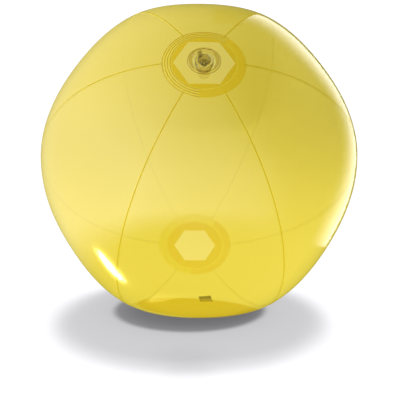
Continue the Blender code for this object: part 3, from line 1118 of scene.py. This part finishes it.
def add_world():
    """White wherever the camera looks past the floor, and dimmer as a light.

    What the film mirrors of it is bright at the left, dim at the right and overhead, and dark
    behind the ball to the right.
    """
    world = bpy.data.worlds.new("studio")
    bpy.context.scene.world = world
    world.cycles.sampling_method = "NONE"
    tree = blank_tree(world)
    seen = node(tree, "ShaderNodeBackground", Color=(1, 1, 1, 1), Strength=STUDIO_WHITE)
    light = node(tree, "ShaderNodeBackground", Color=STUDIO_LIGHT_COLOUR, Strength=STUDIO_LIGHT)
    towards = tree.nodes.new("ShaderNodeTexCoord").outputs["Generated"]
    split = tree.nodes.new("ShaderNodeSeparateXYZ")
    tree.links.new(towards, split.inputs[0])
    side = maths(tree, "MULTIPLY_ADD", split.outputs["X"], STUDIO_SIDE, STUDIO_LEVEL)
    overhead = maths(tree, "MULTIPLY", maths(tree, "MAXIMUM", split.outputs["Z"], 0.0), STUDIO_TOP)
    level = maths(tree, "MINIMUM", maths(tree, "ADD", side, overhead), STUDIO_MOST)
    level = maths(tree, "MAXIMUM", level, 0.0)
    in_front = vector_maths(tree, "DOT_PRODUCT", towards, STUDIO_FRONT)
    level = maths(tree, "MULTIPLY", level, smooth_step(tree, in_front, *STUDIO_DIMMING))
    mirrored = node(tree, "ShaderNodeBackground", Color=(1, 1, 1, 1))
    tree.links.new(level, mirrored.inputs["Strength"])
    path = tree.nodes.new("ShaderNodeLightPath")
    unseen = mixed(tree, path.outputs["Is Glossy Ray"], light.outputs[0], mirrored.outputs[0])
    whole = mixed(tree, path.outputs["Is Camera Ray"], unseen, seen.outputs[0])
    put_out(tree, "ShaderNodeOutputWorld", whole)


def aim(thing, place, target):
    """Puts a lamp or a camera at a place, facing a target."""
    thing.location = place
    thing.rotation_euler = (target - place).to_track_quat("-Z", "Y").to_euler()


def light_only(lamp, names):
    """Lets a lamp light only the pieces with these names."""
    receivers = bpy.data.collections.new(f"{lamp.name}_receivers")
    for name in names:
        receivers.objects.link(bpy.data.objects[name])
    lamp.light_linking.receiver_collection = receivers


def add_window():
    """An oval softbox that only shows as a reflection.

    The inner face of gore 4 mirrors it as the white highlight at the ball's lower left.
    """
    lamp = bpy.data.lights.new("window", "AREA")
    lamp.shape = "ELLIPSE"
    lamp.size = WINDOW_WIDTH
    lamp.size_y = WINDOW_HEIGHT
    lamp.energy = WINDOW_RADIANCE * math.pi * WINDOW_WIDTH * WINDOW_HEIGHT
    thing = placed("window", lamp)
    out = (WINDOW_PLACE - WINDOW_TARGET).normalized()
    high = out.cross(WINDOW_SIDE).normalized()
    axes = Matrix((high.cross(out), high, out)).transposed()
    thing.matrix_world = Matrix.Translation(WINDOW_PLACE) @ axes.to_4x4()
    thing.visible_camera = False
    thing.visible_diffuse = False
    light_only(thing, ["gore_film_4"])


def add_sun(name, strength, towards):
    """A distant soft lamp that the film doesn't mirror."""
    lamp = bpy.data.lights.new(name, "SUN")
    lamp.energy = strength
    lamp.angle = SUN_SPREAD
    thing = placed(name, lamp)
    aim(thing, towards, Vector((0, 0, 0)))
    thing.visible_glossy = False


def view_direction(turn, clock):
    """The direction that lies turn away from the lens and clock round it from straight up."""
    across = RIGHT * math.sin(clock) + UP * math.cos(clock)
    return BACK * math.cos(turn) + across * math.sin(turn)


def glow_material():
    """Plain light, which rises from nothing at the card's inner edge to its most at the outer."""
    inner, outer = GLOW_TURNS
    material = bpy.data.materials.new("glow_card")
    tree = blank_tree(material)
    turned_away = vector_maths(tree, "DOT_PRODUCT", object_place(tree), BACK / GLOW_DISTANCE)
    fade = smooth_step(tree, turned_away, (math.cos(inner), 0.0), (math.cos(outer), 1.0))
    fade = maths(tree, "MULTIPLY", maths(tree, "POWER", fade, GLOW_FADE), GLOW_RADIANCE)
    glow = node(tree, "ShaderNodeEmission", Color=GLOW_COLOUR)
    tree.links.new(fade, glow.inputs["Strength"])
    put_out(tree, "ShaderNodeOutputMaterial", glow.outputs[0])
    return material


def add_glow_card():
    """A curved card behind and above the ball, which glows towards its outer edge.

    The film mirrors it as the white glow inside the ball's upper right rim.
    """
    rows = 16
    columns = 40
    inner, outer = GLOW_TURNS
    first, last = GLOW_CLOCKS
    points = []
    for i in range(rows + 1):
        for k in range(columns + 1):
            clock = first + (last - first) * k / columns
            reach = outer - GLOW_SHORTER * max(0.0, 1 - 2.5 * k / columns) ** 2
            points.append(view_direction(inner + (reach - inner) * i / rows, clock) * GLOW_DISTANCE)
    mesh = bpy.data.meshes.new("glow_card")
    mesh.from_pydata(points, [], sheet_faces(rows + 1, columns + 1))
    mesh.materials.append(glow_material())
    card = placed("glow_card", mesh)
    card.location = CENTRE
    card.visible_camera = False
    card.visible_diffuse = False
    card.visible_shadow = False
    card.visible_transmission = False
    light_only(card, ["gore_film_1", "gore_film_5", "gore_film_6", "valve_flange_ring"])


def add_lights():
    """The distant lamps, and the two that only show as reflections."""
    for name, strength, towards in SUNS:
        add_sun(name, strength, towards)
    add_window()
    add_glow_card()


def add_camera():
    """The camera, back along its view from the ball."""
    camera = bpy.data.cameras.new("camera")
    camera.lens = CAMERA_LENS
    camera.clip_start = 0.01
    thing = placed("camera", camera)
    pivot = Vector((0, 0, CAMERA_PIVOT))
    target = pivot - UP * AIM_BELOW * BALL_RADIUS + RIGHT * AIM_RIGHT * BALL_RADIUS
    aim(thing, pivot + BACK * CAMERA_DISTANCE, target)
    bpy.context.scene.camera = thing


def set_look():
    """Plain colours, and enough see-through layers for the whole ball and its valve."""
    scene = bpy.context.scene
    scene.view_settings.view_transform = "Standard"
    scene.cycles.transparent_max_bounces = 32


def main():
    """Builds every piece of the ball, then the stage."""
    film = film_vinyl()
    weld = weld_and_painted_shade_vinyl()
    hem = hem_vinyl()
    lap = faint_vinyl("lap", (0.995, 0.97, 0.56))
    films = (patch_vinyl(), lap, pressed_vinyl(), band_vinyl())
    thin = faint_vinyl("thin_line", (1.0, 1.0, 0.70))
    top = (*films, rib_vinyl(), thin)
    base = (*films, faint_vinyl("base_rib", (1.0, 0.99, 0.84)), thin)
    valve = valve_vinyl()
    bead = bead_vinyl()
    collar = collar_vinyl()
    stem = stem_vinyl()
    plug = plug_vinyl()
    for number in range(1, GORES + 1):
        add_gore(number, film)
        add_seam_weld(number, weld)
        add_seam_hems(number, hem)
    add_patch("top", VALVE_HOLE, VALVE_WINDOW, False, top, "valve_patch")
    add_patch("base", 0.0, BASE_WINDOW, True, base, "base_patch")
    # Painted shadow of the valve's stem, drawn as a dark mark on the film
    add_painted_stem_shadow(painted_shadow_vinyl())
    add_flange(valve)
    add_flange_ticks(bead)
    add_beads(bead)
    add_collar(collar)
    add_stem(stem)
    add_plug(plug)
    add_strap(plug)
    add_flap(stem)
    add_floor()
    add_world()
    add_lights()
    add_camera()
    set_look()


main()
